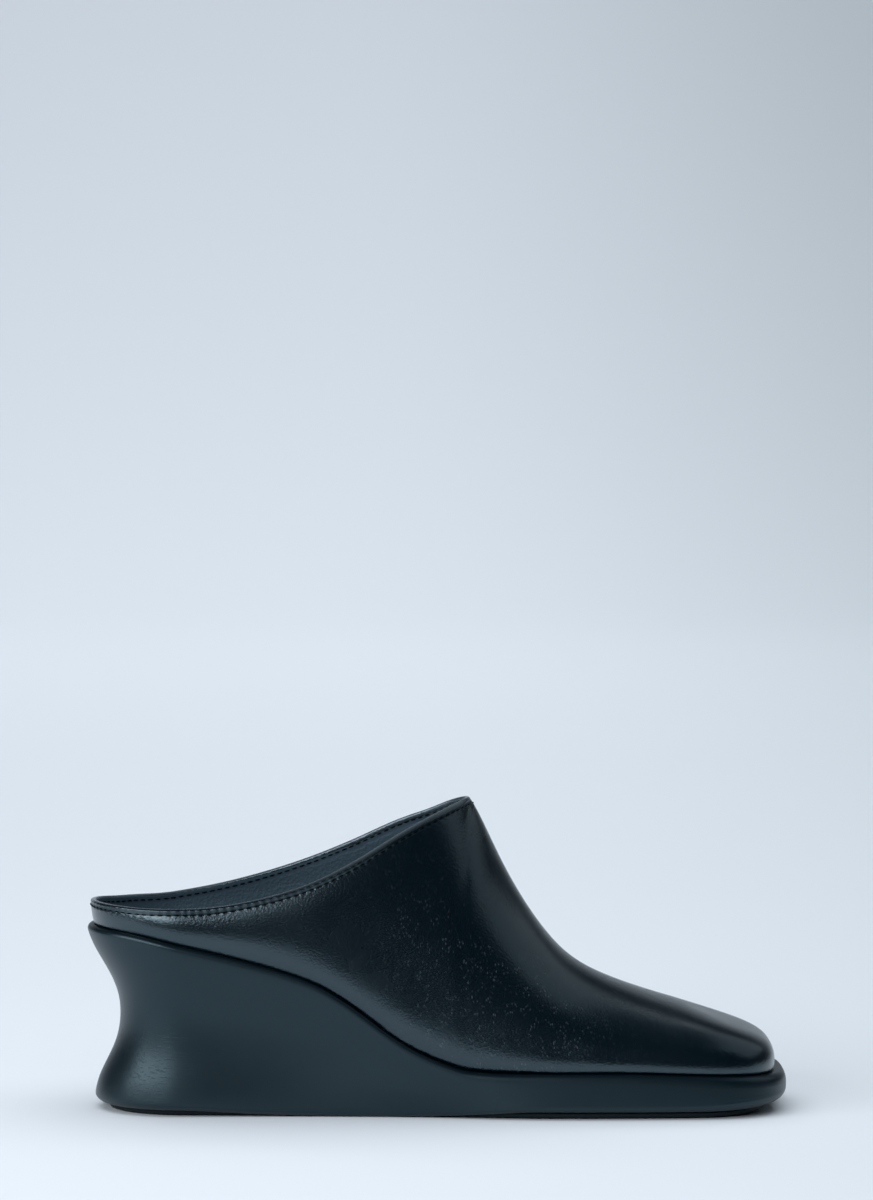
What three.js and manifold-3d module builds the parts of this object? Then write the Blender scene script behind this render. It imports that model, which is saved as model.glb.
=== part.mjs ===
// Wedge mule, right shoe. Millimetres, +X to the toe, +Z up, the outer side of the foot at -Y.
import * as THREE from "three";
import Module from "manifold-3d";

// Plan and length
const SHOE_LENGTH = 249.2; // sole rim, heel to toe
const BALL_WIDTH = 77; // across the seam at the ball of the foot
const HEEL_DEPTH = 31; // back of the seam to the middle of the heel seat
const TOE_DEPTH = 34.7; // from where the toe begins to curve to its front
const HEEL_ROUND = 2.1; // 2 is an ellipse, more is squarer
const TOE_ROUND = 3.6; // a square toe with round corners
const RIM_BACK = 2.2; // how far the sole stands out past the upper at the back
const RIM_TOE = 4.7; // and at the toe

// Heights
const HEEL_HEIGHT = 66.3; // floor to the seam at the back
const COLLAR_PEAK = 110.8; // floor to the highest point of the throat
const WALL = 2; // leather and lining together
const GAP = 0.3; // between pieces that touch in the real shoe
const CONE_RISE = 2.1; // the instep line carried on above the throat, rise per mm back
const BACK_LEAN = 1.2; // the back of the collar stands this far behind the seam

// Sole
const WAIST_INSET_BACK = 12; // spool-shaped waist of the heel, from the rim inwards
const WAIST_INSET_SIDE = 5.4;
const WAIST_LEVEL = 0.515; // share of the local height where it is narrowest
const OUTSOLE_THICK = 2.6;
const TOE_SPRING = 2.2; // how far the tip of the sole is lifted off the floor
const SPRING_FROM = 0.88; // share of the length where that begins
const INSOLE_THICK = 1.8;
const INSOLE_INSET = 3.2;

const X_BACK = -SHOE_LENGTH / 2 + RIM_BACK;
const X_FRONT = SHOE_LENGTH / 2 - RIM_TOE;
const X_HEEL = X_BACK + HEEL_DEPTH;
const X_TOE = X_FRONT - TOE_DEPTH;
const X_PEAK = 12.2;

// Half widths of the seam. along: share of the shoe's length from the back; the rest: shares of BALL_WIDTH.
const PLAN = [
  { along: 0.0, outer: 0.38, inner: 0.385 },
  { along: 0.13, outer: 0.389, inner: 0.388 },
  { along: 0.26, outer: 0.393, inner: 0.372 },
  { along: 0.38, outer: 0.41, inner: 0.338 },
  { along: 0.46, outer: 0.431, inner: 0.34 },
  { along: 0.54, outer: 0.455, inner: 0.39 },
  { along: 0.62, outer: 0.474, inner: 0.468 },
  { along: 0.7, outer: 0.482, inner: 0.518 },
  { along: 0.78, outer: 0.479, inner: 0.515 },
  { along: 0.85, outer: 0.47, inner: 0.495 },
  { along: 0.92, outer: 0.456, inner: 0.47 },
  { along: 1.0, outer: 0.436, inner: 0.442 },
];

// Height of the seam between sole and upper, share of HEEL_HEIGHT.
const SEAM = [
  { along: 0.0, high: 1.0 },
  { along: 0.058, high: 0.984 },
  { along: 0.138, high: 0.92 },
  { along: 0.247, high: 0.82 },
  { along: 0.323, high: 0.726 },
  { along: 0.379, high: 0.6 },
  { along: 0.448, high: 0.41 },
  { along: 0.5, high: 0.312 },
  { along: 0.548, high: 0.259 },
  { along: 0.6, high: 0.2485 },
  { along: 0.74, high: 0.2495 },
  { along: 0.89, high: 0.2325 },
  { along: 1.0, high: 0.218 },
];

// The top edge of the collar in side view, share of COLLAR_PEAK.
const COLLAR = [
  { along: 0.0, outer: 0.67, inner: 0.67 },
  { along: 0.04, outer: 0.668, inner: 0.658 },
  { along: 0.09, outer: 0.665, inner: 0.658 },
  { along: 0.163, outer: 0.667, inner: 0.679 },
  { along: 0.234, outer: 0.691, inner: 0.716 },
  { along: 0.306, outer: 0.735, inner: 0.767 },
  { along: 0.377, outer: 0.809, inner: 0.833 },
  { along: 0.449, outer: 0.904, inner: 0.91 },
  { along: 0.492, outer: 0.952, inner: 0.946 },
  { along: 0.52, outer: 0.98, inner: 0.976 },
  { along: 0.549, outer: 1.0, inner: 1.0 },
];

// The crest of the vamp in side view, share of COLLAR_PEAK.
const CREST = [
  { along: 0.549, high: 1.0 },
  { along: 0.5635, high: 0.945 },
  { along: 0.578, high: 0.866 },
  { along: 0.592, high: 0.798 },
  { along: 0.6065, high: 0.736 },
  { along: 0.635, high: 0.628 },
  { along: 0.664, high: 0.541 },
  { along: 0.6925, high: 0.477 },
  { along: 0.735, high: 0.424 },
  { along: 0.793, high: 0.374 },
  { along: 0.85, high: 0.334 },
];

// Sections of the last. side: how upright the wall starts, top: how broad the crest is, tuck: mm that the wall
// draws in to the seam, fade: mm of height over which it does, hug: mm that the collar edge leans in,
// lean: mm of the crest to the inside.
const SECTION = [
  { along: 0.0, side: 0.5, top: 0.34, tuck: 0.3, fade: 4, hug: 0.2, lean: 0 },
  { along: 0.06, side: 0.48, top: 0.34, tuck: 1.2, fade: 4, hug: 1.7, lean: 0 },
  { along: 0.13, side: 0.44, top: 0.34, tuck: 2, fade: 4.4, hug: 2.3, lean: 0 },
  { along: 0.28, side: 0.3, top: 0.32, tuck: 2.7, fade: 5, hug: 1.7, lean: 0 },
  { along: 0.38, side: 0.24, top: 0.32, tuck: 2.7, fade: 5.2, hug: 0.8, lean: 0.2 },
  { along: 0.46, side: 0.32, top: 0.3, tuck: 2.4, fade: 5.6, hug: 0.4, lean: 0.5 },
  { along: 0.56, side: 0.42, top: 0.34, tuck: 2.1, fade: 4.6, hug: 0.2, lean: 1.5 },
  { along: 0.66, side: 0.5, top: 0.48, tuck: 1.5, fade: 3, hug: 0, lean: 3 },
  { along: 0.75, side: 0.54, top: 0.6, tuck: 1.3, fade: 2.8, hug: 0, lean: 3 },
  { along: 0.85, side: 0.6, top: 0.7, tuck: 1.2, fade: 2.8, hug: 0, lean: 2 },
  { along: 1.0, side: 0.6, top: 0.8, tuck: 0.9, fade: 2.8, hug: 0, lean: 2 },
];

// The sole around its edge, mm. rim: how far it stands out past the seam, drop: how far the rim rounds over,
// bottom: its lower edge past the seam, corner: rounding there, edge: that edge above the floor,
// pad: how far the rubber outsole keeps inside the lower edge.
const SOLE = [
  { along: 0.0, rim: 2.2, drop: 2.4, bottom: -0.4, corner: 4, edge: 2.1, pad: 5.4 },
  { along: 0.13, rim: 2.0, drop: 2.4, bottom: 0.3, corner: 3.2, edge: 2.1, pad: 4.6 },
  { along: 0.24, rim: 1.8, drop: 2.4, bottom: -0.6, corner: 2.6, edge: 0.8, pad: 3 },
  { along: 0.29, rim: 1.7, drop: 2.4, bottom: -0.9, corner: 2.3, edge: 0.4, pad: 3 },
  { along: 0.35, rim: 1.7, drop: 2.4, bottom: -1.4, corner: 2, edge: 0.2, pad: 3 },
  { along: 0.42, rim: 1.7, drop: 2.4, bottom: -1.8, corner: 1.8, edge: 0.1, pad: 3 },
  { along: 0.5, rim: 1.9, drop: 2.5, bottom: -1.0, corner: 1.8, edge: 0.6, pad: 3 },
  { along: 0.58, rim: 2.2, drop: 2.8, bottom: 1.8, corner: 1.9, edge: 1.9, pad: 3.4 },
  { along: 0.64, rim: 2.3, drop: 3.0, bottom: 2.9, corner: 2, edge: 2.7, pad: 3.8 },
  { along: 0.85, rim: 2.8, drop: 3.4, bottom: 3.3, corner: 2.4, edge: 2.6, pad: 3.8 },
  { along: 1.0, rim: 4.8, drop: 4.0, bottom: 4.7, corner: 5, edge: 2.6, pad: 8.5 },
];

const wasm = await Module();
wasm.setup();

const shareOf = (x) => (x + SHOE_LENGTH / 2) / SHOE_LENGTH;

// A smooth curve through one column of a table, without overshoot.
function column(rows, name) {
  const at = rows.map((row) => row.along);
  const value = rows.map((row) => row[name]);
  const rise = at.slice(1).map((a, i) => (value[i + 1] - value[i]) / (a - at[i]));
  const slope = value.map((_, i) => {
    if (i === 0) return rise[0];
    if (i === rise.length) return rise[i - 1];
    const before = rise[i - 1];
    const after = rise[i];
    return before * after <= 0 ? 0 : (2 * before * after) / (before + after);
  });
  return (x) => {
    const a = Math.min(Math.max(shareOf(x), at[0]), at[at.length - 1]);
    let i = 0;
    while (i < rise.length - 1 && a > at[i + 1]) i++;
    const step = at[i + 1] - at[i];
    const t = (a - at[i]) / step;
    const h1 = 2 * t ** 3 - 3 * t ** 2 + 1;
    const h2 = t ** 3 - 2 * t ** 2 + t;
    const h3 = 3 * t ** 2 - 2 * t ** 3;
    const h4 = t ** 3 - t ** 2;
    return h1 * value[i] + h2 * step * slope[i] + h3 * value[i + 1] + h4 * step * slope[i + 1];
  };
}

const outerHalf = column(PLAN, "outer");
const innerHalf = column(PLAN, "inner");
const seamShare = column(SEAM, "high");
const outerCollar = column(COLLAR, "outer");
const innerCollar = column(COLLAR, "inner");
const crestShare = column(CREST, "high");
const sideFullness = column(SECTION, "side");
const topFullness = column(SECTION, "top");
const tuckAt = column(SECTION, "tuck");
const fadeAt = column(SECTION, "fade");
const hugAt = column(SECTION, "hug");
const leanAt = column(SECTION, "lean");
const sole = {};
for (const name of ["rim", "drop", "bottom", "corner", "edge", "pad"]) sole[name] = column(SOLE, name);

const halfWidth = (side, x) => BALL_WIDTH * (side < 0 ? outerHalf(x) : innerHalf(x));
const seamHeight = (x) => HEEL_HEIGHT * seamShare(x);
const spring = (x) => TOE_SPRING * Math.max(0, (shareOf(x) - SPRING_FROM) / (1 - SPRING_FROM)) ** 2;
const collarHeight = (side, x) => COLLAR_PEAK * (side < 0 ? outerCollar(x) : innerCollar(x));
const crestHeight = (x) =>
  x < X_PEAK ? COLLAR_PEAK + CONE_RISE * (X_PEAK - x) : COLLAR_PEAK * crestShare(x);

// Stations along one side: a fan round the heel, planes across the foot, a fan round the toe.
const HEEL_FAN = 11;
const TOE_FAN = 15;
const stations = [];
for (let i = 0; i < HEEL_FAN; i++) stations.push({ fan: "heel", angle: (Math.PI / 2) * (i / HEEL_FAN) });
for (const x of acrossStations()) stations.push({ fan: "none", x });
for (let i = 1; i <= TOE_FAN; i++) stations.push({ fan: "toe", angle: (Math.PI / 2) * (1 - towardsCorner(i / TOE_FAN)) });
const LAST = stations.length - 1;
const AROUND = 2 * LAST;

// Shares of a quarter turn, closest together in the middle, where the toe has its corner.
function towardsCorner(t) {
  return t + (0.4 * Math.sin(2 * Math.PI * t)) / (2 * Math.PI);
}

// Planes across the foot, closest together where the collar turns at the throat.
function acrossStations() {
  const list = [];
  const back = 17;
  for (let i = 0; i < back; i++) list.push(X_PEAK - (X_PEAK - X_HEEL) * ((back - i) / back) ** 1.45);
  const front = 12;
  for (let i = 0; i <= front; i++) list.push(X_PEAK + (X_TOE - X_PEAK) * (i / front) ** 1.15);
  return list;
}

// How far a superellipse reaches in one direction.
function reach(depth, width, angle, round) {
  const a = (Math.cos(angle) / depth) ** round;
  const b = (Math.abs(Math.sin(angle)) / width) ** round;
  return (a + b) ** (-1 / round);
}

// The seam in plan: place k of the loop that runs heel, outer side, toe, inner side.
function seamPlace(k) {
  const side = k <= LAST ? -1 : 1;
  const station = stations[k <= LAST ? k : AROUND - k];
  if (station.fan === "none") {
    return { side, station, x: station.x, y: side * halfWidth(side, station.x) };
  }
  const heel = station.fan === "heel";
  const centre = heel ? X_HEEL : X_TOE;
  const middle = heel ? 0 : leanAt(X_TOE);
  const wide = Math.abs(side * halfWidth(side, centre) - middle);
  const round = heel ? HEEL_ROUND : TOE_ROUND;
  const far = reach(heel ? HEEL_DEPTH : TOE_DEPTH, wide, station.angle, round);
  const x = centre + (heel ? -1 : 1) * far * Math.cos(station.angle);
  // The half widths narrow on from the place where the fan begins.
  const taper = halfWidth(side, x) / halfWidth(side, centre);
  const y = middle + side * far * Math.sin(station.angle) * taper;
  const r = Math.hypot(x - centre, y - middle);
  return { side, station, r, x, y, along: Math.abs(x - centre) / r, across: Math.abs(y - middle) / r };
}

const seam = [];
for (let k = 0; k < AROUND; k++) seam.push(seamPlace(k));
seam.forEach((p, k) => {
  const before = seam[(k + AROUND - 1) % AROUND];
  const after = seam[(k + 1) % AROUND];
  const dx = after.x - before.x;
  const dy = after.y - before.y;
  const long = Math.hypot(dx, dy);
  p.nx = dy / long;
  p.ny = -dx / long;
});

// A loop of points a distance d outside the seam, at height z; both may change along the shoe.
function ring(d, z) {
  return seam.map((p) => {
    const out = d(p);
    const x = p.x + p.nx * out;
    return new THREE.Vector3(x, p.y + p.ny * out, z(p, x));
  });
}

// Joins loops into one closed solid, with strips across the first and the last of them.
function solidFromRings(rings) {
  const points = [];
  const faces = [];
  rings.forEach((loop) => points.push(...loop));
  const at = (r, k) => r * AROUND + (k % AROUND);
  for (let r = 0; r + 1 < rings.length; r++) {
    for (let k = 0; k < AROUND; k++) {
      faces.push([at(r, k), at(r + 1, k), at(r + 1, k + 1)]);
      faces.push([at(r, k), at(r + 1, k + 1), at(r, k + 1)]);
    }
  }
  const foot = rings.length - 1;
  for (let k = 0; k < LAST; k++) {
    const other = (AROUND - k) % AROUND;
    faces.push([at(0, k), at(0, k + 1), at(0, other)]);
    faces.push([at(0, k + 1), at(0, other - 1 < 0 ? AROUND - 1 : other - 1), at(0, other)]);
    faces.push([at(foot, k), at(foot, other), at(foot, k + 1)]);
    faces.push([at(foot, k + 1), at(foot, other), at(foot, other - 1 < 0 ? AROUND - 1 : other - 1)]);
  }
  return { points, faces };
}

// One index per place, and no face that has collapsed.
function merged({ points, faces }) {
  const seen = new Map();
  const kept = [];
  const index = points.map((p) => {
    const key = [p.x, p.y, p.z].map((v) => Math.round(v * 2000)).join();
    if (!seen.has(key)) {
      seen.set(key, kept.length);
      kept.push(p);
    }
    return seen.get(key);
  });
  const whole = faces
    .map((face) => face.map((i) => index[i]))
    .filter(([a, b, c]) => a !== b && b !== c && a !== c);
  return { points: kept, faces: whole, index };
}

function toManifold(shape) {
  const { points, faces } = merged(shape);
  const vertProperties = new Float32Array(points.flatMap((p) => [p.x, p.y, p.z]));
  const triVerts = new Uint32Array(faces.flat());
  return new wasm.Manifold(new wasm.Mesh({ numProp: 3, vertProperties, triVerts }));
}

function toMesh(name, manifold, colour, roughness) {
  const { numProp, vertProperties, triVerts } = manifold.getMesh();
  const geometry = new THREE.BufferGeometry();
  const place = new Float32Array((vertProperties.length / numProp) * 3);
  for (let i = 0; i < place.length / 3; i++) {
    for (let c = 0; c < 3; c++) place[3 * i + c] = vertProperties[numProp * i + c];
  }
  geometry.setAttribute("position", new THREE.BufferAttribute(place, 3));
  geometry.setIndex(new THREE.BufferAttribute(new Uint32Array(triVerts), 1));
  geometry.computeVertexNormals();
  const material = new THREE.MeshStandardMaterial({ color: colour, roughness, metalness: 0 });
  const mesh = new THREE.Mesh(geometry, material);
  mesh.name = name;
  return mesh;
}

// One section of the last from the seam (t = 0) to the crest (t = 1): share of the half width, share of the rise.
function sectionPoint(t, side, top, fall) {
  const a = (1 - t) ** 3;
  const b = 3 * (1 - t) ** 2 * t;
  const c = 3 * (1 - t) * t ** 2;
  return { wide: a + b + c * top, high: b * side + c * (1 - fall) + t ** 3 };
}

// Where a section reaches a given share of its rise.
function cutAt(high, side, top) {
  let low = 0;
  let up = 1;
  for (let i = 0; i < 40; i++) {
    const t = (low + up) / 2;
    if (sectionPoint(t, side, top, 0).high < high) low = t;
    else up = t;
  }
  return (low + up) / 2;
}

// How far a wall that rises to a given height stands in from its widest line, at one height above the seam.
const HUG_FADE = 4.5; // mm of height over which the collar edge leans in
function drawnIn(x, up, whole) {
  return tuckAt(x) * Math.exp(-up / fadeAt(x)) + hugAt(x) * Math.exp((up - whole) / HUG_FADE);
}

// The outer face of the upper: place k of the loop, s from the seam (0) to the collar or the crest (1).
function upperPoint(k, s) {
  const p = seam[k];
  const z0 = seamHeight(p.x);
  const tuck = tuckAt(p.x);
  if (p.station.fan === "none") {
    const middle = leanAt(p.x);
    const wide = Math.abs(p.y - middle);
    const rise = crestHeight(p.x) - z0;
    const side = sideFullness(p.x);
    const top = topFullness(p.x);
    const end = p.x < X_PEAK ? cutAt((collarHeight(p.side, p.x) - z0) / rise, side, top) : 1;
    const q = sectionPoint(s * end, side, top, 0);
    const whole = p.x < X_PEAK ? collarHeight(p.side, p.x) - z0 : rise * 9;
    const r = (wide + tuck) * q.wide - drawnIn(p.x, q.high * rise, whole) * Math.min(1, q.wide * 3);
    return new THREE.Vector3(p.x, middle + p.side * r, z0 + rise * q.high);
  }
  if (p.station.fan === "heel") {
    const c = p.along;
    const rise = crestHeight(X_HEEL) - seamHeight(X_HEEL);
    const side = sideFullness(X_HEEL);
    const top = topFullness(X_HEEL);
    const end = cutAt((collarHeight(p.side, X_HEEL) - seamHeight(X_HEEL)) / rise, side, top);
    const q = sectionPoint(s * end, side, top, 0);
    const up = q.high / sectionPoint(end, side, top, 0).high;
    const high = collarHeight(p.side, p.x) - z0;
    const r = (p.r + tuck) * q.wide - drawnIn(p.x, up * high, high) + BACK_LEAN * up * c * c;
    const x = X_HEEL - r * c;
    return new THREE.Vector3(x, p.side * r * p.across, z0 + up * high);
  }
  const c = p.along;
  const middle = leanAt(X_TOE);
  const crest = crestHeight(X_TOE);
  const rise = crest - z0;
  const side = sideFullness(X_TOE);
  const top = topFullness(X_TOE) + 0.11 * c;
  const fall = (0.42 * top * p.r * c) / rise;
  const q = sectionPoint(s, side, top, fall);
  const r = (p.r + tuck) * q.wide - tuck * Math.exp((-q.high * rise) / fadeAt(p.x)) * Math.min(1, q.wide * 3);
  return new THREE.Vector3(X_TOE + r * c, middle + p.side * r * p.across, z0 + rise * q.high);
}

// The upper: outer face, the same face moved in by the wall, and the edges that join them.
function upperShape() {
  const rows = 12;
  const outer = [];
  const faces = [];
  for (let k = 0; k < AROUND; k++) {
    for (let j = 0; j <= rows; j++) outer.push(upperPoint(k, (j / rows) ** 1.5));
  }
  const at = (k, j) => (k % AROUND) * (rows + 1) + j;
  for (let k = 0; k < AROUND; k++) {
    for (let j = 0; j < rows; j++) {
      faces.push([at(k, j), at(k + 1, j), at(k + 1, j + 1)]);
      faces.push([at(k, j), at(k + 1, j + 1), at(k, j + 1)]);
    }
  }
  const skin = merged({ points: outer, faces });
  const normals = vertexNormals(skin);
  const count = skin.points.length;
  const lower = new Set();
  for (let k = 0; k < AROUND; k++) lower.add(skin.index[at(k, 0)]);
  const inner = skin.points.map((p, i) => {
    const q = p.clone().addScaledVector(normals[i], -WALL);
    if (lower.has(i)) {
      const flat = new THREE.Vector3(normals[i].x, normals[i].y, 0).normalize();
      q.copy(p).addScaledVector(flat, -WALL);
      q.z = seamHeight(q.x);
    }
    return q;
  });
  const points = [...skin.points, ...inner];
  const all = [...skin.faces];
  skin.faces.forEach(([a, b, c]) => all.push([c + count, b + count, a + count]));
  for (let k = 0; k < AROUND; k++) {
    const a = skin.index[at(k, 0)];
    const b = skin.index[at(k + 1, 0)];
    all.push([a, b + count, b], [a, a + count, b + count]);
  }
  // The collar edge is rolled: a middle row stands a little above both faces.
  const rolled = new Map();
  const roll = (k) => {
    const i = skin.index[at(k, rows)];
    if (!rolled.has(i)) {
      const up = skin.points[i].clone().sub(skin.points[skin.index[at(k, rows - 1)]]).normalize();
      const mid = skin.points[i].clone().add(inner[i]).multiplyScalar(0.5);
      rolled.set(i, points.length);
      points.push(mid.addScaledVector(up, 0.55));
    }
    return rolled.get(i);
  };
  for (let k = 0; k < AROUND; k++) {
    const next = (k + 1) % AROUND;
    if (seam[k].x > X_PEAK + 0.01 || seam[next].x > X_PEAK + 0.01) continue;
    const a = skin.index[at(k, rows)];
    const b = skin.index[at(next, rows)];
    const ra = roll(k);
    const rb = roll(next);
    all.push([a, b, rb], [a, rb, ra]);
    all.push([ra, rb, b + count], [ra, b + count, a + count]);
  }
  return { points, faces: all };
}

function vertexNormals({ points, faces }) {
  const normals = points.map(() => new THREE.Vector3());
  for (const [a, b, c] of faces) {
    const u = points[b].clone().sub(points[a]);
    const v = points[c].clone().sub(points[a]);
    const n = u.cross(v);
    [a, b, c].forEach((i) => normals[i].add(n));
  }
  return normals.map((n) => n.normalize());
}

// How far the waist of the wedge is drawn in: most at the back, less on the sides, none at the forefoot.
function waistInset(p) {
  const tall = seamHeight(p.x) / HEEL_HEIGHT;
  const back = Math.max(0, -p.nx) ** 1.5;
  return (WAIST_INSET_SIDE + (WAIST_INSET_BACK - WAIST_INSET_SIDE) * back) * Math.max(0, tall - 0.24) ** 1.1 * 1.34;
}

const ease = (t) => (1 - Math.cos(Math.PI * t)) / 2;

// Side of the sole at one place: distance out from the seam at a share of the way down (0 rim, 1 lower corner).
// Where there is a waist it curves in and out again, and at the forefoot it is straight.
const FULL_WAIST = 1.5;
function sideOut(p, t) {
  const rim = sole.rim(p.x);
  const bottom = sole.bottom(p.x);
  const inset = waistInset(p);
  const waist = rim - inset;
  const narrow = 1 - WAIST_LEVEL;
  const straight = rim + (bottom - rim) * t;
  const curved =
    t < narrow
      ? rim + (waist - rim) * ease((t / narrow) ** 0.78)
      : waist + (bottom - waist) * ease(((t - narrow) / (1 - narrow)) ** 1.35);
  return straight + (curved - straight) * Math.min(1, inset / FULL_WAIST);
}

function soleShape() {
  const rimSteps = 4;
  const sideSteps = 10;
  const cornerSteps = 4;
  const rings = [];
  for (let i = 0; i <= rimSteps; i++) {
    const a = (Math.PI / 2) * (i / rimSteps);
    const d = (p) => sole.rim(p.x) * Math.sin(a) ** 0.8;
    rings.push(ring(d, (p) => seamHeight(p.x) - GAP - sole.drop(p.x) * (1 - Math.cos(a) ** 0.8)));
  }
  const high = (p) => seamHeight(p.x) - GAP - sole.drop(p.x);
  const low = (p) => sole.edge(p.x) + spring(p.x) + sole.corner(p.x) * 0.8;
  for (let i = 1; i < sideSteps; i++) {
    const t = i / sideSteps;
    rings.push(ring((p) => sideOut(p, t), (p) => high(p) + (low(p) - high(p)) * t));
  }
  for (let i = 0; i <= cornerSteps; i++) {
    const a = (Math.PI / 2) * (i / cornerSteps);
    const d = (p) => sole.bottom(p.x) - sole.corner(p.x) * (1 - Math.cos(a));
    rings.push(ring(d, (p) => low(p) - sole.corner(p.x) * 0.8 * Math.sin(a)));
  }
  return solidFromRings(rings);
}

const padOut = (grow) => (p) => sole.bottom(p.x) - sole.pad(p.x) + grow;

function outsoleShape() {
  const bevel = 0.5;
  return solidFromRings([
    ring(padOut(0), (p, x) => OUTSOLE_THICK + spring(x)),
    ring(padOut(0), (p, x) => bevel + spring(x)),
    ring(padOut(-bevel), (p, x) => spring(x)),
  ]);
}

function recessShape() {
  return solidFromRings([
    ring(padOut(GAP), (p, x) => OUTSOLE_THICK + GAP + spring(x)),
    ring(padOut(GAP), () => -1),
  ]);
}

function insoleShape() {
  const soft = 0.7;
  const onSeam = (up) => (p, x) => seamHeight(x) + up;
  return solidFromRings([
    ring(() => -INSOLE_INSET - soft, onSeam(INSOLE_THICK)),
    ring(() => -INSOLE_INSET, onSeam(INSOLE_THICK - soft)),
    ring(() => -INSOLE_INSET, onSeam(0)),
  ]);
}

const wedge = toManifold(soleShape()).subtract(toManifold(recessShape()));

// The middle of the sole's outline stands over the origin.
const extent = wedge.boundingBox();
const home = [0, 1].map((axis) => -(extent.min[axis] + extent.max[axis]) / 2).concat(0);

const shoe = new THREE.Group();
shoe.name = "wedge_mule";
shoe.add(toMesh("upper", toManifold(upperShape()).translate(home), 0x15242b, 0.4));
shoe.add(toMesh("sole", wedge.translate(home), 0x1b2a31, 0.6));
shoe.add(toMesh("outsole", toManifold(outsoleShape()).translate(home), 0x0d1418, 0.85));
shoe.add(toMesh("insole", toManifold(insoleShape()).translate(home), 0x111a1f, 0.7));

export default shoe;
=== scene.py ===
# %% [markdown]
# # A black wedge mule, dressed for its picture
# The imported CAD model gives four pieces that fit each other: the upper, the
# wedge sole, the thin outsole and the insole. This lesson turns each of them
# into a smooth, finished piece, adds the sewing, makes the leather, the
# sanded wedge and the rubber, and sets up the small studio.

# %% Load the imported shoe
import math
import bmesh
import bpy
from mathutils import Matrix, Vector
from mathutils.bvhtree import BVHTree
from mathutils.kdtree import KDTree


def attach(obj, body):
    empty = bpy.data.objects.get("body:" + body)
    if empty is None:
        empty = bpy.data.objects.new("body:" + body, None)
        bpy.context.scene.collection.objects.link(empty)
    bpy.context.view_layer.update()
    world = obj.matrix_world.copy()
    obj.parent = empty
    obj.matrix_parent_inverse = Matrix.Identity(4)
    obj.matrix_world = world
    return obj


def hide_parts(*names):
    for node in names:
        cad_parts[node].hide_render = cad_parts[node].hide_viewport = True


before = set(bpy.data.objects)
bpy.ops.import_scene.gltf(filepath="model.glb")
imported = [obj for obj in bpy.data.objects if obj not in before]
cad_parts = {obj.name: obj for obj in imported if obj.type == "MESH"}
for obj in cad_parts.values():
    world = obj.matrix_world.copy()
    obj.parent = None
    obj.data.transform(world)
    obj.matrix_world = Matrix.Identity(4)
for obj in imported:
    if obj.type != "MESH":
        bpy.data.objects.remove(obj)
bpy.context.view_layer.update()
MM = 0.001
print("nodes:", sorted(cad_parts))

# %% [markdown]
# ## The camera
# The photo was taken with a long lens from the outer side, a little above
# the shoe. A long lens far away keeps the sides of the wedge parallel. The
# shoe stands low in a tall frame, so the camera is pitched up from the shoe
# instead of shifting the lens, and the other views stay centred.

# %% Camera
SHOE_TARGET = Vector((0, 0, 50 * MM))
CAMERA_AWAY = 2.2
CAMERA_TURN = math.radians(-1.0)
CAMERA_RISE = math.radians(7.3)
CAMERA_PITCH_UP = math.radians(3.395)
LENS_MM = 184.5
SENSOR_MM = 36


def looking_back(turn, rise):
    """The direction from the shoe to a camera at that turn and height."""
    return Vector((
        math.sin(turn) * math.cos(rise),
        -math.cos(turn) * math.cos(rise),
        math.sin(rise),
    ))


camera_data = bpy.data.cameras.new("studio_camera")
camera_data.lens = LENS_MM
camera_data.sensor_width = SENSOR_MM
camera = bpy.data.objects.new("studio_camera", camera_data)
camera.location = SHOE_TARGET + CAMERA_AWAY * looking_back(
    CAMERA_TURN, CAMERA_RISE)
gaze = -looking_back(CAMERA_TURN, CAMERA_RISE - CAMERA_PITCH_UP)
camera.rotation_euler = gaze.to_track_quat("-Z", "Y").to_euler()
bpy.context.scene.collection.objects.link(camera)
bpy.context.scene.camera = camera
print("camera at", [round(v, 3) for v in camera.location])

# %% [markdown]
# ## From CAD triangles to a smooth surface
# A CAD solid arrives as loose triangles. A copy of it is merged into one
# closed skin, its triangles are joined back into the four-sided faces they
# were cut from, and a Subdivision Surface modifier rounds them. Edges that
# are sharp on the real piece get a crease first, so they stay sharp.

# %% Helpers for a smooth copy of a CAD node
SAME_POINT = 1e-6
FLAT_ENOUGH = math.radians(50)
SQUARE_ENOUGH = math.radians(60)
CREASE_LAYER = "crease_edge"


def skin_of(node):
    """A closed, four-sided copy of a CAD node's mesh."""
    skin = bmesh.new()
    skin.from_mesh(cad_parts[node].data)
    bmesh.ops.remove_doubles(skin, verts=skin.verts, dist=SAME_POINT)
    bmesh.ops.join_triangles(
        skin, faces=skin.faces[:],
        angle_face_threshold=FLAT_ENOUGH,
        angle_shape_threshold=SQUARE_ENOUGH,
    )
    for face in skin.faces:
        face.smooth = True
    skin.edges.layers.float.new(CREASE_LAYER)
    print(node, "skin:", len(skin.verts), "points,", len(skin.faces), "faces")
    return skin


def crease(skin, edges, amount):
    """Keeps these edges sharp under a Subdivision Surface modifier."""
    layer = skin.edges.layers.float[CREASE_LAYER]
    for edge in edges:
        edge[layer] = amount


def finished(name, skin, replaces=None, rounds=2):
    """Turns a bmesh into a piece of the shoe that rides on its one body."""
    mesh = bpy.data.meshes.new(name)
    skin.to_mesh(mesh)
    skin.free()
    piece = bpy.data.objects.new(name, mesh)
    bpy.context.scene.collection.objects.link(piece)
    if rounds:
        smoothing = piece.modifiers.new("smoothing", "SUBSURF")
        smoothing.levels = smoothing.render_levels = rounds
    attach(piece, "root")
    if replaces:
        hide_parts(replaces)
    print(name, "made:", len(mesh.polygons), "faces before smoothing")
    return piece


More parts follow.
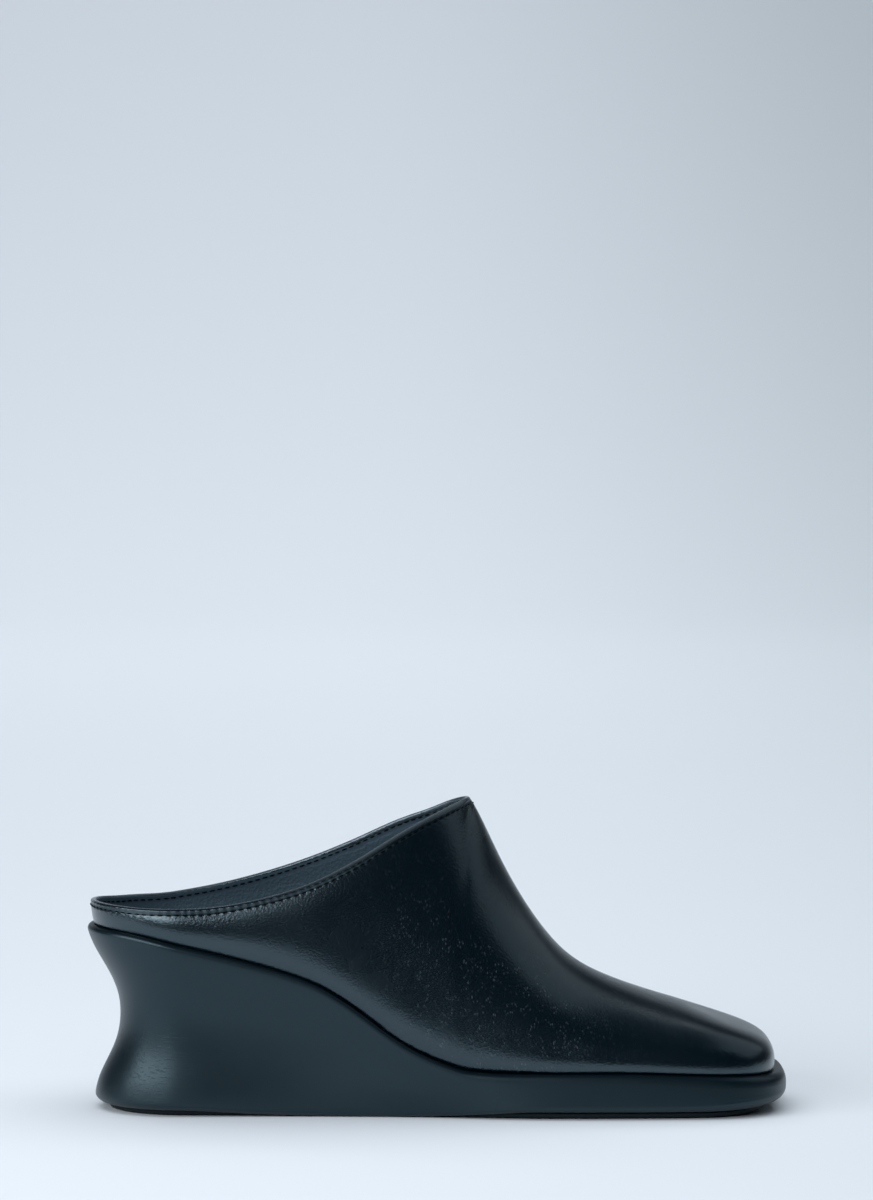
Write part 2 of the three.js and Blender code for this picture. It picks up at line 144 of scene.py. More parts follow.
# %% [markdown]
# ## The upper
# The upper is one sheet of leather, lasted over the wedge and turned over at
# the collar. The finish needs to know where it is on the sheet: how far it
# is from the folded edge, how far along the edge, and how high above the
# seam. Those three numbers are measured once and kept on the points, where
# the materials read them as attributes.

# %% Find the outside, the lining and the folded edge
FOLD_ANGLE = math.radians(38)
upper_skin = skin_of("upper")
measures = upper_skin.verts.layers.float
fold, run, rise = (measures.new(n) for n in ("fold", "run", "rise"))


def sheets_of(skin):
    """Groups of faces that meet softly, largest first."""
    left, groups = set(skin.faces), []
    while left:
        todo, group = [left.pop()], []
        while todo:
            face = todo.pop()
            group.append(face)
            for edge in face.edges:
                for other in edge.link_faces:
                    if other in left and edge.calc_face_angle(0) < FOLD_ANGLE:
                        left.discard(other)
                        todo.append(other)
        groups.append(group)
    return sorted(groups, key=lambda g: -sum(f.calc_area() for f in g))


groups = sheets_of(upper_skin)
outside, lining = set(groups[0]), set(groups[1])
print("faces in each sheet:", [len(g) for g in groups])


def on_outside(point):
    """Whether a point has only faces of the outer sheet round it."""
    return all(face in outside for face in point.link_faces)


edge_points = [v for v in upper_skin.verts
               if not any(f in outside or f in lining for f in v.link_faces)]
seam_points = [v for v in upper_skin.verts
               if any(f in outside for f in v.link_faces)
               and not on_outside(v)
               and not any(e.other_vert(v) in edge_points for e in v.link_edges)]
print("points on the folded edge:", len(edge_points))
print("points on the seam line:", len(seam_points))

# %% Walk round the collar
def walk(points):
    """The points in order round their loop, from the back of the shoe."""
    left = set(points)
    here = min(points, key=lambda v: (v.co.x, abs(v.co.y)))
    loop = []
    while here:
        loop.append(here)
        left.discard(here)
        here = next((e.other_vert(here) for e in here.link_edges
                     if e.other_vert(here) in left), None)
    return loop


def dense(loop, step=0.4 * MM):
    """Points close together along a closed loop, with the length so far."""
    out, length = [], 0.0
    for a, b in zip(loop, loop[1:] + loop[:1]):
        gap = (b - a).length
        count = max(1, round(gap / step))
        out += [(a.lerp(b, i / count), length + gap * i / count)
                for i in range(count)]
        length += gap
    return out, length


collar_line, collar_length = dense([v.co.copy() for v in walk(edge_points)])
print("collar length in mm:", round(collar_length / MM, 1))

# %% Measure the leather
def tree_of(points):
    """A search tree that finds the nearest of these points."""
    tree = KDTree(len(points))
    for i, p in enumerate(points):
        tree.insert(p, i)
    tree.balance()
    return tree


# Each edge of the seam line is met from both its ends, and gets half of its
# in-between points from each.
SEAM_PARTS = 8
collar_tree = tree_of([p for p, _ in collar_line])
seam_line = []
for a in seam_points:
    for edge in a.link_edges:
        b = edge.other_vert(a)
        if b in seam_points:
            seam_line += [a.co.lerp(b.co, i / SEAM_PARTS)
                          for i in range(SEAM_PARTS // 2)]
seam_tree = tree_of(seam_line)
for v in upper_skin.verts:
    _, index, away = collar_tree.find(v.co)
    so_far = collar_line[index][1]
    v[fold] = away / MM
    v[run] = min(so_far, collar_length - so_far) / MM
    v[rise] = seam_tree.find(v.co)[2] / MM
print("fold runs to", round(max(v[fold] for v in upper_skin.verts)), "mm")

# %% [markdown]
# ### Creases of the upper
# A new shoe has no walking creases, but leather that is pulled over a last
# is never quite even. A few soft troughs and ridges are listed in the
# shoe's own millimetres: where the vamp turns down at the ball, where
# the side is pulled in at the arch, and along the feather line. The points
# of the outer sheet move by a fraction of a millimetre along their normals.

# %% Soft troughs and ridges
# name, along X, up Z, half length, half width, lean in degrees, depth, side
SOFT_CREASES = (
    ("arch_pull", -22, 62, 30, 6, -38, -0.30, -1),
    ("arch_swell", -14, 70, 28, 6, -40, 0.22, -1),
    ("ball_trough", 38, 34, 20, 5, -62, -0.24, -1),
    ("ball_ridge", 49, 33, 18, 5, -64, 0.18, -1),
    ("toe_hollow", 88, 26, 20, 4, -12, -0.16, -1),
    ("heel_swell", -92, 67, 24, 4, -10, 0.15, -1),
    ("arch_pull_inner", -20, 62, 30, 6, -38, -0.30, 1),
    ("ball_trough_inner", 40, 34, 20, 5, -62, -0.24, 1),
    ("ball_ridge_inner", 51, 33, 18, 5, -64, 0.18, 1),
)
TURNED_AWAY = 0.05
TURNED_TO_SIDE = 2


def crease_depth(p, normal):
    """How far in or out the leather lies at a point, in mm."""
    total = 0.0
    for _, x, z, long, wide, lean, depth, side in SOFT_CREASES:
        if normal.y * side < TURNED_AWAY:
            continue
        turn = math.radians(lean)
        dx, dz = p.x / MM - x, p.z / MM - z
        u = (dx * math.cos(turn) + dz * math.sin(turn)) / long
        w = (dz * math.cos(turn) - dx * math.sin(turn)) / wide
        facing = min(1.0, normal.y * side * TURNED_TO_SIDE)
        total += depth * facing * math.exp(-u * u - w * w)
    return total


print("soft troughs and ridges:", len(SOFT_CREASES))

# %% [markdown]
# ### The throat
# At the throat the collar turns in a tight bend, and the CAD mesh has a small
# kink below it that gloss would show. Smoothing alone would pull the leather
# in there. So the points are pulled together and let out again in turn,
# which takes the kink away and leaves the form.

# %% Take the kink out, then lay the creases
THROAT_AT = 12.2 * MM
KINK_REACH = 20 * MM
KINK_BELOW_FOLD = 1.5
KINK_ABOVE_SEAM = 10
PULLED_THEN_LET_OUT = 8 * (0.5, -0.53)

throat = [v for v in upper_skin.verts
          if abs(v.co.x - THROAT_AT) < KINK_REACH
          and v[fold] > KINK_BELOW_FOLD and v[rise] > KINK_ABOVE_SEAM
          and on_outside(v)]
for factor in PULLED_THEN_LET_OUT:
    bmesh.ops.smooth_vert(upper_skin, verts=throat, factor=factor,
                          use_axis_x=True, use_axis_y=True, use_axis_z=True)
print("points evened out at the throat:", len(throat))
upper_skin.normal_update()
moves = [(v, crease_depth(v.co, v.normal)) for v in upper_skin.verts
         if on_outside(v)]
for v, depth in moves:
    v.co += v.normal * depth * MM
print("deepest crease in mm:", round(max(abs(d) for _, d in moves), 2))

# %% Finish the upper
SHARP_BELOW = math.radians(60)
FOLD_WIDTH = 3
LOWER_EDGE_CREASE = 0.8

for face in upper_skin.faces:
    face.material_index = 1 if face in lining else 0
lower_edges = [e for e in upper_skin.edges
               if e.calc_face_angle(0) > SHARP_BELOW
               and all(v[fold] > FOLD_WIDTH for v in e.verts)]
crease(upper_skin, lower_edges, LOWER_EDGE_CREASE)
upper = finished("upper_dressed", upper_skin, "upper")

# %% [markdown]
# A Smooth modifier behind the Subdivision Surface evens out what is left of
# the kink, on finer points. A vertex group holds it to the outer sheet near
# the throat, and its weight fades to nothing at the fold, so the folded edge
# keeps its line.

# %% Even out the throat after smoothing
EVENED_REACH = 24 * MM
EVENED_FROM_FOLD = 1.0
EVENED_FADE = 3
EVENING_ROUNDS = 24


def held(value):
    """The value, kept between 0 and 1."""
    return min(1.0, max(0.0, value))


below_fold = [value.value for value in upper.data.attributes["fold"].data]
lining_points = {i for face in upper.data.polygons if face.material_index
                 for i in face.vertices}
throat_group = upper.vertex_groups.new(name="throat")
for point in upper.data.vertices:
    if point.index in lining_points:
        continue
    near = 1 - abs(point.co.x - THROAT_AT) / EVENED_REACH
    down = (below_fold[point.index] - EVENED_FROM_FOLD) / EVENED_FADE
    throat_group.add([point.index], held(2 * near) * held(down), "REPLACE")
evening = upper.modifiers.new("evening", "SMOOTH")
evening.factor = 0.5
evening.iterations = EVENING_ROUNDS
evening.vertex_group = throat_group.name
print("the throat is evened out over", evening.iterations, "rounds")

# %% [markdown]
# ## The sewing at the collar
# The collar is turned over and stitched about two millimetres below the
# fold. Each stitch is a short thread that dives into the leather at both
# ends. One small capsule is enough for a stitch, and all of a row's stitches
# are one mesh. The places come from the dressed leather itself: a ray looks
# for the surface below the fold, so each stitch lies on it.

# %% Where the stitches go
STITCH_PITCH = 2.8
STITCH_BELOW = 2.3
STITCH_LENGTH = 2.1
THREAD = 0.55
THREAD_PROUD = 0.05
RAY_FROM = 6
COLLAR_AHEAD = 6

graph = bpy.context.evaluated_depsgraph_get()
leather = upper.evaluated_get(graph).to_mesh()
leather_tree = BVHTree.FromPolygons(
    [v.co.copy() for v in leather.vertices],
    [tuple(p.vertices) for p in leather.polygons])
upper.evaluated_get(graph).to_mesh_clear()
middle_of_collar = sum((p for p, _ in collar_line), Vector()) / len(collar_line)


def collar_at(length):
    """Place and direction of the folded edge, this far along it."""
    length %= collar_length
    index = min(range(len(collar_line)),
                key=lambda i: abs(collar_line[i][1] - length))
    here = collar_line[index][0]
    ahead = collar_line[(index + COLLAR_AHEAD) % len(collar_line)][0]
    behind = collar_line[(index - COLLAR_AHEAD) % len(collar_line)][0]
    return here, (ahead - behind).normalized()


def stitch_at(length, outer):
    """The matrix that lays one stitch on the leather, or None."""
    here, ahead = collar_at(length)
    away = ahead.cross(Vector((0, 0, 1))).normalized()
    if away.dot(here - middle_of_collar) < 0:
        away = -away
    look = away if outer else -away
    down = ahead.cross(away).normalized()
    down = down if down.z < 0 else -down
    start = here + down * STITCH_BELOW * MM + look * RAY_FROM * MM
    hit, normal, _, _ = leather_tree.ray_cast(start, -look, 2 * RAY_FROM * MM)
    if hit is None:
        return None
    normal = normal if normal.dot(look) > 0 else -normal
    across = normal.cross(ahead).normalized()
    ahead = across.cross(normal).normalized()
    turn = Matrix((ahead, across, normal)).transposed().to_4x4()
    return Matrix.Translation(hit + normal * THREAD_PROUD * MM) @ turn


stitches_a_side = int(collar_length / 2 / MM / STITCH_PITCH)
print("stitches on each side of the collar:", stitches_a_side)

# %% Sew the two rows
def stitch_row(name, outer):
    """One row of stitches as a single mesh."""
    row = bmesh.new()
    size = Matrix.Scale(MM, 4) @ Matrix.Diagonal(
        (STITCH_LENGTH / 2, THREAD / 2, THREAD / 2, 1))
    tilt = Matrix.Rotation(math.radians(90), 4, "Y")
    for side in (1, -1):
        for k in range(stitches_a_side):
            place = stitch_at(side * (k + 0.5) * STITCH_PITCH * MM, outer)
            if place is not None:
                bmesh.ops.create_uvsphere(
                    row, u_segments=6, v_segments=5, radius=1,
                    matrix=place @ size @ tilt)
    for face in row.faces:
        face.smooth = True
    return finished(name, row, rounds=0)


outer_stitches = stitch_row("collar_stitches_outside", True)
inner_stitches = stitch_row("collar_stitches_inside", False)

# %% [markdown]
# ## The wedge, the outsole and the insole
# The wedge is one moulded block whose side is sanded to a soft hollow at
# the heel. Its rim and its bottom edge are rounded already, so only the
# recess for the rubber keeps a crease. The outsole is a thin plate of
# rubber, and the insole a leather sock on top of the wedge.

# %% Smooth the three lower pieces
LOWER_CREASE = 0.85


def dressed(node, name, sharp_over):
    """A smooth copy of a lower piece, with its sharp edges kept."""
    skin = skin_of(node)
    sharp = [e for e in skin.edges
             if e.calc_face_angle(0) > math.radians(sharp_over)]
    crease(skin, sharp, LOWER_CREASE)
    print(node, "creased edges:", len(sharp))
    return finished(name, skin, node)


sole = dressed("sole", "wedge_dressed", 62)
outsole = dressed("outsole", "outsole_dressed", 50)
insole = dressed("insole", "insole_dressed", 70)

# %% [markdown]
# ## Finishes
# Black leather is mostly what it reflects. Its own colour is nearly black
# with a little blue-green, so the character comes from roughness, a fine
# grain in the bump, and a thin coat where it was polished. What more than
# one finish needs is a helper or a node group that is made once.

# %% Small helpers for node trees
def add(tree, kind, **settings):
    """A node with its settings; in_0, in_1 and so on set its sockets."""
    node = tree.nodes.new(kind)
    for key, value in settings.items():
        if key.startswith("in_"):
            node.inputs[int(key[3:])].default_value = value
        else:
            setattr(node, key, value)
    return node


def join(tree, source, target):
    """Links one socket to another."""
    tree.links.new(source, target)


def math_node(tree, operation, a, b=None, c=None):
    """A Math node whose inputs are numbers or other nodes' outputs."""
    node = add(tree, "ShaderNodeMath", operation=operation)
    for i, value in enumerate((a, b, c)):
        if isinstance(value, (int, float)):
            node.inputs[i].default_value = value
        elif value is not None:
            join(tree, value, node.inputs[i])
    return node.outputs[0]


def fade(tree, value, low, high, at_low=0.0, at_high=1.0):
    """A smooth step from one value to another."""
    node = add(tree, "ShaderNodeMapRange", interpolation_type="SMOOTHSTEP",
               in_1=low, in_2=high, in_3=at_low, in_4=at_high)
    join(tree, value, node.inputs[0])
    return node.outputs[0]


def noise(tree, place, scale, detail):
    """Soft noise from 0 to 1, with so many clouds to the metre."""
    node = add(tree, "ShaderNodeTexNoise")
    node.inputs["Scale"].default_value = scale
    node.inputs["Detail"].default_value = detail
    join(tree, place, node.inputs["Vector"])
    return node.outputs[0]


def attribute(tree, name):
    """A measure that was kept on the points, in mm."""
    return add(tree, "ShaderNodeAttribute", attribute_name=name).outputs["Fac"]


# %% The shared grain
def make_grain_group():
    """Fine pebbles and hair pores, with a slow mottle, in the piece's mm."""
    group = bpy.data.node_groups.new("leather_grain", "ShaderNodeTree")
    for name, way, kind in (("Place", "INPUT", "NodeSocketVector"),
                            ("Pebble", "INPUT", "NodeSocketFloat"),
                            ("Height", "OUTPUT", "NodeSocketFloat"),
                            ("Mottle", "OUTPUT", "NodeSocketFloat")):
        group.interface.new_socket(name, in_out=way, socket_type=kind)
    start = group.nodes.new("NodeGroupInput")
    end = group.nodes.new("NodeGroupOutput")
    cells = add(group, "ShaderNodeTexVoronoi", feature="SMOOTH_F1")
    cells.inputs["Smoothness"].default_value = 0.6
    join(group, start.outputs["Place"], cells.inputs["Vector"])
    join(group, math_node(group, "DIVIDE", 1000, start.outputs["Pebble"]),
         cells.inputs["Scale"])
    fine_spots = noise(group, start.outputs["Place"], 2600, 3)
    slow = noise(group, start.outputs["Place"], 55, 2)
    height = math_node(group, "MULTIPLY_ADD", fine_spots, 0.5,
                       cells.outputs["Distance"])
    join(group, height, end.inputs["Height"])
    join(group, slow, end.inputs["Mottle"])
    return group


leather_grain = make_grain_group()


def grained(tree, place, pebble):
    """Height and mottle of leather with pebbles of that size in mm."""
    grain = add(tree, "ShaderNodeGroup", node_tree=leather_grain)
    join(tree, place, grain.inputs["Place"])
    grain.inputs["Pebble"].default_value = pebble
    return grain.outputs["Height"], grain.outputs["Mottle"]


print("groups:", leather_grain.name)

# %% A material to start from
COOL = (0.62, 0.87, 1.0)
NEUTRAL = (1, 1, 1)


def new_finish(name, colour, roughness, tint, specular=0.5):
    """A material with its Principled shader and the piece's own place."""
    finish = bpy.data.materials.new(name)
    finish.use_nodes = True
    tree = finish.node_tree
    shader = tree.nodes["Principled BSDF"]
    shader.inputs["Base Color"].default_value = (*colour, 1)
    shader.inputs["Roughness"].default_value = roughness
    shader.inputs["Specular Tint"].default_value = (*tint, 1)
    shader.inputs["Specular IOR Level"].default_value = specular
    place = add(tree, "ShaderNodeTexCoord").outputs["Object"]
    print("finish:", name)
    return finish, tree, shader, place


def relief(tree, shader, height, depth, strength=1.0, over=None):
    """Adds a bump of that depth in mm to the shader's normal."""
    bump = add(tree, "ShaderNodeBump")
    bump.inputs["Strength"].default_value = strength
    bump.inputs["Distance"].default_value = depth * MM
    join(tree, height, bump.inputs["Height"])
    if over is not None:
        join(tree, over, bump.inputs["Normal"])
    join(tree, bump.outputs[0], shader.inputs["Normal"])
    return bump.outputs[0]


# %% Places and zones of a piece
def stretched(tree, place, sx, sy, sz, lean=0):
    """The place scaled and leant over, for streaks and scratches."""
    node = add(tree, "ShaderNodeMapping")
    node.inputs["Scale"].default_value = (sx, sy, sz)
    node.inputs["Rotation"].default_value = (0, math.radians(lean), 0)
    join(tree, place, node.inputs["Vector"])
    return node.outputs[0]


def along(tree, place, axis):
    """One coordinate of the piece's place, in mm."""
    parts = add(tree, "ShaderNodeSeparateXYZ")
    join(tree, place, parts.inputs[0])
    return math_node(tree, "MULTIPLY", parts.outputs["XYZ".index(axis)], 1000)


def zone(tree, value, low, high, soft):
    """1 between low and high, fading to 0 over a soft border, all in mm."""
    return math_node(tree, "MULTIPLY",
                     fade(tree, value, low - soft, low),
                     fade(tree, value, high, high + soft, 1.0, 0.0))


# %% [markdown]
# ### Upper leather
# The real leather is smooth black calf, polished to a soft gloss. Its grain
# is too fine to model, so it is bump. On the side of the vamp, tiny upright
# glints are painted into the colour: painted highlights, small cells that
# are kept only where a slower noise is high. The stitches lie in a groove,
# and the leather puckers a little between them: both follow the measures
# that were kept on the points. A painted highlight lightens the colour
# along the very edge of the fold.

# %% Upper leather
CALF_BLACK = (0.0003, 0.0032, 0.0060)
# Colour of the painted highlights, on the fold's edge and on the vamp.
CALF_PAINTED_HIGHLIGHT = (0.055, 0.070, 0.080)


def vamp_painted_glints(tree, place):
    """A mask of painted glints: small cells, densest on the side of the vamp."""
    upright = stretched(tree, place, 1.0, 0.8, 0.5)
    fine_spots = add(tree, "ShaderNodeTexVoronoi")
    fine_spots.inputs["Scale"].default_value = 1150
    join(tree, upright, fine_spots.inputs["Vector"])
    few = math_node(tree, "MULTIPLY",
                    fade(tree, fine_spots.outputs["Distance"], 0.1, 0.4, 1.0, 0.0),
                    fade(tree, noise(tree, upright, 380, 2), 0.42, 0.62))
    x_mm, z_mm = along(tree, place, "X"), along(tree, place, "Z")
    slope = math_node(tree, "MULTIPLY_ADD", x_mm, 0.62, z_mm)
    glint_zone = math_node(tree, "MULTIPLY", zone(tree, x_mm, 0, 44, 30),
                             zone(tree, slope, 30, 62, 22))
    return math_node(tree, "MULTIPLY", few, math_node(
        tree, "MULTIPLY_ADD", glint_zone, 0.8, 0.2))


def sewn_groove(tree, fold_mm):
    """The groove of the stitches, the sewn-down height, both as values."""
    run_mm = attribute(tree, "run")
    waves = math_node(tree, "SINE", math_node(
        tree, "MULTIPLY", run_mm, 2 * math.pi / STITCH_PITCH))
    off_row = math_node(tree, "ABSOLUTE", math_node(
        tree, "SUBTRACT", fold_mm, STITCH_BELOW))
    row = fade(tree, off_row, 0.15, 0.9, 1.0, 0.0)
    beside = fade(tree, off_row, 0.5, 1.9, 1.0, 0.0)
    pucker = math_node(tree, "MULTIPLY", waves, beside)
    height = math_node(tree, "MULTIPLY_ADD", pucker, 0.3,
                       math_node(tree, "MULTIPLY", row, -1.0))
    return row, height


def make_upper_leather():
    finish, tree, shader, place = new_finish(
        "upper_calf", CALF_BLACK, 0.3, COOL, 0.9)
    height, mottle = grained(tree, place, 0.75)
    fold_mm = attribute(tree, "fold")
    row, sewn = sewn_groove(tree, fold_mm)
    fine = relief(tree, shader, height, 0.09, 0.6)
    relief(tree, shader, sewn, 0.2, 0.9, fine)
    rough = math_node(tree, "MULTIPLY_ADD", mottle, 0.12, 0.2)
    rough = math_node(tree, "MULTIPLY_ADD", row, 0.3, rough)
    join(tree, rough, shader.inputs["Roughness"])
    coat = math_node(tree, "MULTIPLY_ADD", row, -0.28, 0.3)
    join(tree, coat, shader.inputs["Coat Weight"])
    shader.inputs["Coat Roughness"].default_value = 0.24
    # Painted highlight: a thin light line along the very edge of the fold.
    fold_highlight = fade(tree, fold_mm, 0.3, 1.3, 1.0, 0.0)
    # Painted highlights: tiny glints of light mixed into the colour on the vamp.
    painted_glints = math_node(tree, "MULTIPLY", vamp_painted_glints(tree, place), 0.55)
    shade = add(tree, "ShaderNodeMix", data_type="RGBA")
    shade.inputs["A"].default_value = (*CALF_BLACK, 1)
    shade.inputs["B"].default_value = (*CALF_PAINTED_HIGHLIGHT, 1)
    join(tree, math_node(tree, "MAXIMUM", fold_highlight, painted_glints),
         shade.inputs["Factor"])
    join(tree, shade.outputs["Result"], shader.inputs["Base Color"])
    return finish


upper.data.materials.append(make_upper_leather())

# %% [markdown]
# ### Lining leather
# The lining is an unpolished leather with a coarser pebble. The first few
# millimetres below the fold are the facing, which is smoother, so the
# pebble fades in below it. Faint streaks run along the inside.

# %% Lining leather
def make_lining():
    finish, tree, shader, place = new_finish(
        "lining_leather", (0.038, 0.062, 0.085), 0.5, COOL, 0.6)
    height, _ = grained(tree, place, 1.1)
    below_facing = fade(tree, attribute(tree, "fold"), 3.0, 4.5)
    streaks = noise(tree, stretched(tree, place, 0.25, 1.0, 2.2), 300, 4)
    fine = relief(tree, shader,
                  math_node(tree, "MULTIPLY", height, below_facing), 0.22, 0.7)
    relief(tree, shader, streaks, 0.1, 0.4, fine)
    rough = math_node(tree, "MULTIPLY_ADD", below_facing, 0.18, 0.38)
    join(tree, rough, shader.inputs["Roughness"])
    return finish


upper.data.materials.append(make_lining())

# %% [markdown]
# ### Thread
# Black thread is dull beside polished leather, which is why the stitches
# show as dark dashes. A fine wave stands for its twist.

# %% Thread
def make_thread():
    finish, tree, shader, place = new_finish(
        "black_thread", (0.0002, 0.0012, 0.0022), 0.75, COOL, 0.12)
    twist = add(tree, "ShaderNodeTexWave")
    twist.inputs["Scale"].default_value = 900
    join(tree, place, twist.inputs["Vector"])
    relief(tree, shader, twist.outputs["Fac"], 0.05, 0.6)
    return finish


black_thread = make_thread()
for row in (outer_stitches, inner_stitches):
    row.data.materials.append(black_thread)

# %% [markdown]
# ### Sanded wedge
# The wedge has a satin black finish over sanding marks. Fine fibres run
# along it everywhere, a few longer scratches show at the heel, and a faint
# cross-hatch low on the side, under the arch. Each is noise or a wave that
# is stretched along the shoe and held to its zone.

# %% Sanded wedge
def low_hatch(tree, place, x_mm, z_mm):
    """Two sets of leaning lines that cross, low on the side."""
    sets = []
    for lean in (38, -38):
        wave = add(tree, "ShaderNodeTexWave", bands_direction="X")
        wave.inputs["Scale"].default_value = 330
        wave.inputs["Distortion"].default_value = 2.5
        join(tree, stretched(tree, place, 1, 1, 1, lean),
             wave.inputs["Vector"])
        sets.append(wave.outputs["Fac"])
    low_side = math_node(tree, "MULTIPLY", zone(tree, x_mm, -32, 24, 14),
                         zone(tree, z_mm, 1, 9, 6))
    return math_node(tree, "MULTIPLY", math_node(tree, "ADD", *sets), low_side)


def make_wedge():
    finish, tree, shader, place = new_finish(
        "sanded_wedge", (0.0009, 0.0048, 0.0078), 0.36, COOL, 0.66)
    x_mm, z_mm = along(tree, place, "X"), along(tree, place, "Z")
    fibres = noise(tree, stretched(tree, place, 0.05, 1.0, 1.6), 1500, 4)
    scratches = noise(
        tree, stretched(tree, place, 0.035, 1.0, 1.5, lean=5), 1300, 2)
    heel_side = math_node(tree, "MULTIPLY", zone(tree, x_mm, -112, -94, 14),
                          zone(tree, z_mm, 4, 32, 12))
    marks = math_node(
        tree, "MULTIPLY", fade(tree, scratches, 0.54, 0.7),
        math_node(tree, "MULTIPLY_ADD", heel_side, 0.85, 0.15))
    bumps = relief(tree, shader, fibres, 0.03, 0.4)
    bumps = relief(tree, shader, marks, 0.02, 0.7, bumps)
    relief(tree, shader, low_hatch(tree, place, x_mm, z_mm), 0.012, 0.5, bumps)
    cloud = noise(tree, place, 42, 2)
    rough = math_node(tree, "MULTIPLY_ADD", cloud, 0.1, 0.32)
    rough = math_node(tree, "MULTIPLY_ADD", marks, 0.12, rough)
    join(tree, rough, shader.inputs["Roughness"])
    return finish


sole.data.materials.append(make_wedge())

# %% [markdown]
# ### Rubber and insole leather
# The outsole's rubber is matt, with a fine moulded cell. The insole is
# covered with the same kind of leather as the lining, but darker, since
# little light reaches it.

# %% Rubber and insole leather
def make_rubber():
    finish, tree, shader, place = new_finish(
        "outsole_rubber_finish", (0.0035, 0.0070, 0.0090), 0.62, COOL, 0.4)
    moulded = add(tree, "ShaderNodeTexVoronoi")
    moulded.inputs["Scale"].default_value = 900
    join(tree, place, moulded.inputs["Vector"])
    relief(tree, shader, moulded.outputs["Distance"], 0.12, 0.5)
    return finish


def make_insole_leather():
    finish, tree, shader, place = new_finish(
        "insole_leather_finish", (0.0018, 0.0075, 0.0110), 0.5, COOL)
    height, mottle = grained(tree, place, 0.9)
    relief(tree, shader, height, 0.1, 0.6)
    rough = math_node(tree, "MULTIPLY_ADD", mottle, 0.2, 0.4)
    join(tree, rough, shader.inputs["Roughness"])
    return finish


outsole.data.materials.append(make_rubber())
insole.data.materials.append(make_insole_leather())

# %% [markdown]
# ## The studio
# The table is pale blue and runs up into a backdrop. Its colour gets a
# little greyer to the right: painted shade for light that falls off away
# from the key light at the left. A sweep is one strip, bent once, so no
# corner shows. Its front lies far in front of the camera's view.

# %% Table and backdrop
def staged(name, shape):
    """Turns a bmesh into a part of the studio, not of the shoe."""
    mesh = bpy.data.meshes.new(name)
    shape.to_mesh(mesh)
    shape.free()
    prop = bpy.data.objects.new(name, mesh)
    bpy.context.scene.collection.objects.link(prop)
    print("staged:", name)
    return prop


def make_sweep():
    """A flat table that curves up behind the shoe, from a grid bent once."""
    front, back, high, half_width, bend = -6.0, 4.6, 2.3, 7.0, 2.2
    sweep = bmesh.new()
    a = sweep.verts.new((-half_width, front, 0))
    b = sweep.verts.new((-half_width, back, 0))
    c = sweep.verts.new((-half_width, back, high))
    edges = [sweep.edges.new((a, b)), sweep.edges.new((b, c))]
    out = bmesh.ops.extrude_edge_only(sweep, edges=edges)
    side = [v for v in out["geom"] if isinstance(v, bmesh.types.BMVert)]
    bmesh.ops.translate(sweep, verts=side, vec=(2 * half_width, 0, 0))
    corner = [e for e in sweep.edges
              if all(abs(v.co.y - back) < SAME_POINT
                     and abs(v.co.z) < SAME_POINT for v in e.verts)]
    bmesh.ops.bevel(sweep, geom=corner, offset=bend, offset_type="OFFSET",
                    affect="EDGES", segments=24, profile=0.5, material=-1)
    bmesh.ops.recalc_face_normals(sweep, faces=sweep.faces)
    for face in sweep.faces:
        face.smooth = True
    return staged("studio_sweep", sweep)


def make_paper_with_painted_shade():
    """Pale blue paper, with painted shade that makes it greyer to the right."""
    finish, tree, shader, place = new_finish(
        "pale_paper_painted_shade", (0.7, 0.8, 0.9), 0.85, NEUTRAL, 0.2)
    split = add(tree, "ShaderNodeSeparateXYZ")
    join(tree, place, split.inputs[0])
    # Painted shade: the colour darkens towards the right.
    mix = add(tree, "ShaderNodeMix", data_type="RGBA")
    mix.inputs["A"].default_value = (0.720, 0.767, 0.827, 1)
    mix.inputs["B"].default_value = (0.530, 0.580, 0.622, 1)
    join(tree, fade(tree, split.outputs[0], -0.05, 0.65),
         mix.inputs["Factor"])
    join(tree, mix.outputs["Result"], shader.inputs["Base Color"])
    return finish


make_sweep().data.materials.append(make_paper_with_painted_shade())

# %% [markdown]
# Shiny black goods are lit as much by what is dark as by what is bright. In
# the photo the table seems to end a short way in front of the shoe, and the
# floor of the studio beyond it is dark. A black cloth that lies there, seen
# only by reflections, does this and leaves the pale floor pale in each view.

# %% Black cloth in front of the table
CLOTH_CORNERS = ((-3.0, -1.2), (-0.42, -0.42), (-0.02, -0.24), (0.1, -0.11),
                 (0.2, -0.08), (0.7, -0.08), (3.0, -0.5), (3.0, -5.5),
                 (-3.0, -5.5))
CLOTH_ABOVE = 2 * MM


def make_black_cloth():
    cloth = bmesh.new()
    corners = [cloth.verts.new((x, y, CLOTH_ABOVE)) for x, y in CLOTH_CORNERS]
    bmesh.ops.contextual_create(cloth, geom=corners)
    bmesh.ops.recalc_face_normals(cloth, faces=cloth.faces)
    flag = staged("black_cloth", cloth)
    flag.visible_camera = flag.visible_diffuse = flag.visible_shadow = False
    flag.data.materials.append(new_finish(
        "black_cloth_finish", (0.004, 0.006, 0.007), 0.9, NEUTRAL, 0.0)[0])


make_black_cloth()

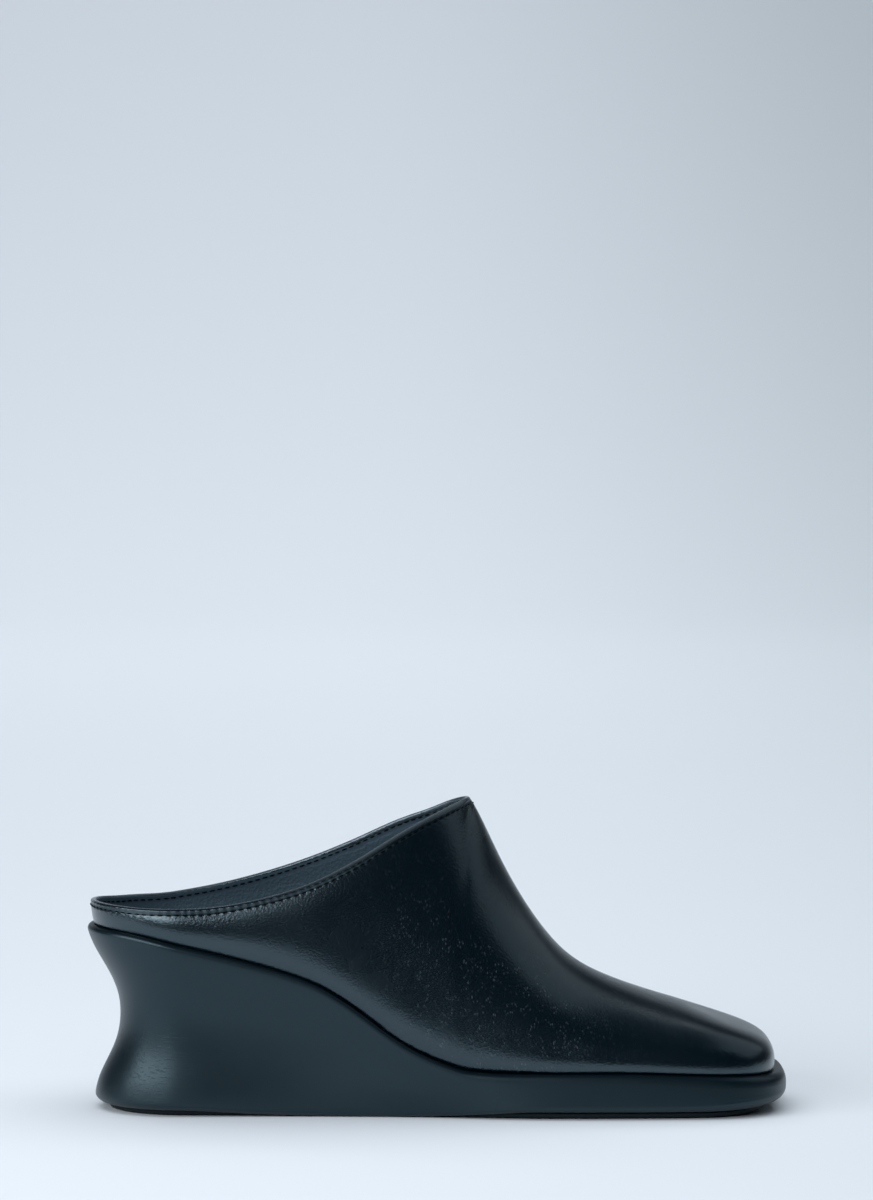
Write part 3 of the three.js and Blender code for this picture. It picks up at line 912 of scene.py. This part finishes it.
# %% [markdown]
# The light is broad and soft. One large box overhead and a weak one in front
# light the table, but reflections don't see them, because the leather's
# upper surfaces stay dark in the photo. A low, wide key light at the left
# front draws the highlight under the stitches and on the heel's foot, and a
# weak one at the upper right softly lights the throat and the toe. Two
# lights behind the shoe keep the backdrop even where it bends up.

# %% Lights
STUDIO_WHITE = (0.95, 0.98, 1.0)
SKY_WHITE = (0.85, 0.95, 1.0)
AIR_COLOUR, AIR_STRENGTH = (0.45, 0.62, 0.75, 1), 0.04
# name, place, aim, width, depth, watts, colour, seen in gloss
LIGHTS = (
    ("ceiling_light", (0, 0.7, 2.4), (0, 0.7, 0), 4.0, 4.6, 90,
     STUDIO_WHITE, False),
    ("front_fill", (0, -2.2, 1.4), (0, 0, 0), 2.0, 1.0, 9,
     STUDIO_WHITE, False),
    ("right_light", (1.25, 0.25, 1.35), (0, 0, 0.05), 2.3, 1.5, 4,
     SKY_WHITE, True),
    ("key_light", (-1.11, -1.03, 0.62), (0, 0, 0.05), 1.9, 0.5, 19,
     STUDIO_WHITE, True),
    ("backdrop_light", (-0.6, 2.4, 2.6), (0, 3.8, 0.2), 3.0, 1.0, 15,
     STUDIO_WHITE, True),
    ("bend_light", (0, 2.2, 1.3), (0, 3.2, 0.1), 2.4, 0.5, 5,
     STUDIO_WHITE, True),
)


def soft_box(name, place, aim, wide, deep, watts, colour, seen_in_gloss):
    """A rectangle of soft light, turned to what it is aimed at."""
    lamp = bpy.data.lights.new(name, "AREA")
    lamp.shape = "RECTANGLE"
    lamp.size, lamp.size_y = wide, deep
    lamp.energy = watts
    lamp.color = colour
    box = bpy.data.objects.new(name, lamp)
    box.location = place
    turn = (Vector(aim) - Vector(place)).to_track_quat("-Z", "Y")
    box.rotation_euler = turn.to_euler()
    box.visible_glossy = seen_in_gloss
    bpy.context.scene.collection.objects.link(box)


for light in LIGHTS:
    soft_box(*light)
world = bpy.data.worlds.new("studio_air")
world.use_nodes = True
air = world.node_tree.nodes["Background"]
air.inputs["Color"].default_value = AIR_COLOUR
air.inputs["Strength"].default_value = AIR_STRENGTH
bpy.context.scene.world = world
bpy.context.scene.view_settings.view_transform = "Standard"
print("lights:", [light[0] for light in LIGHTS])
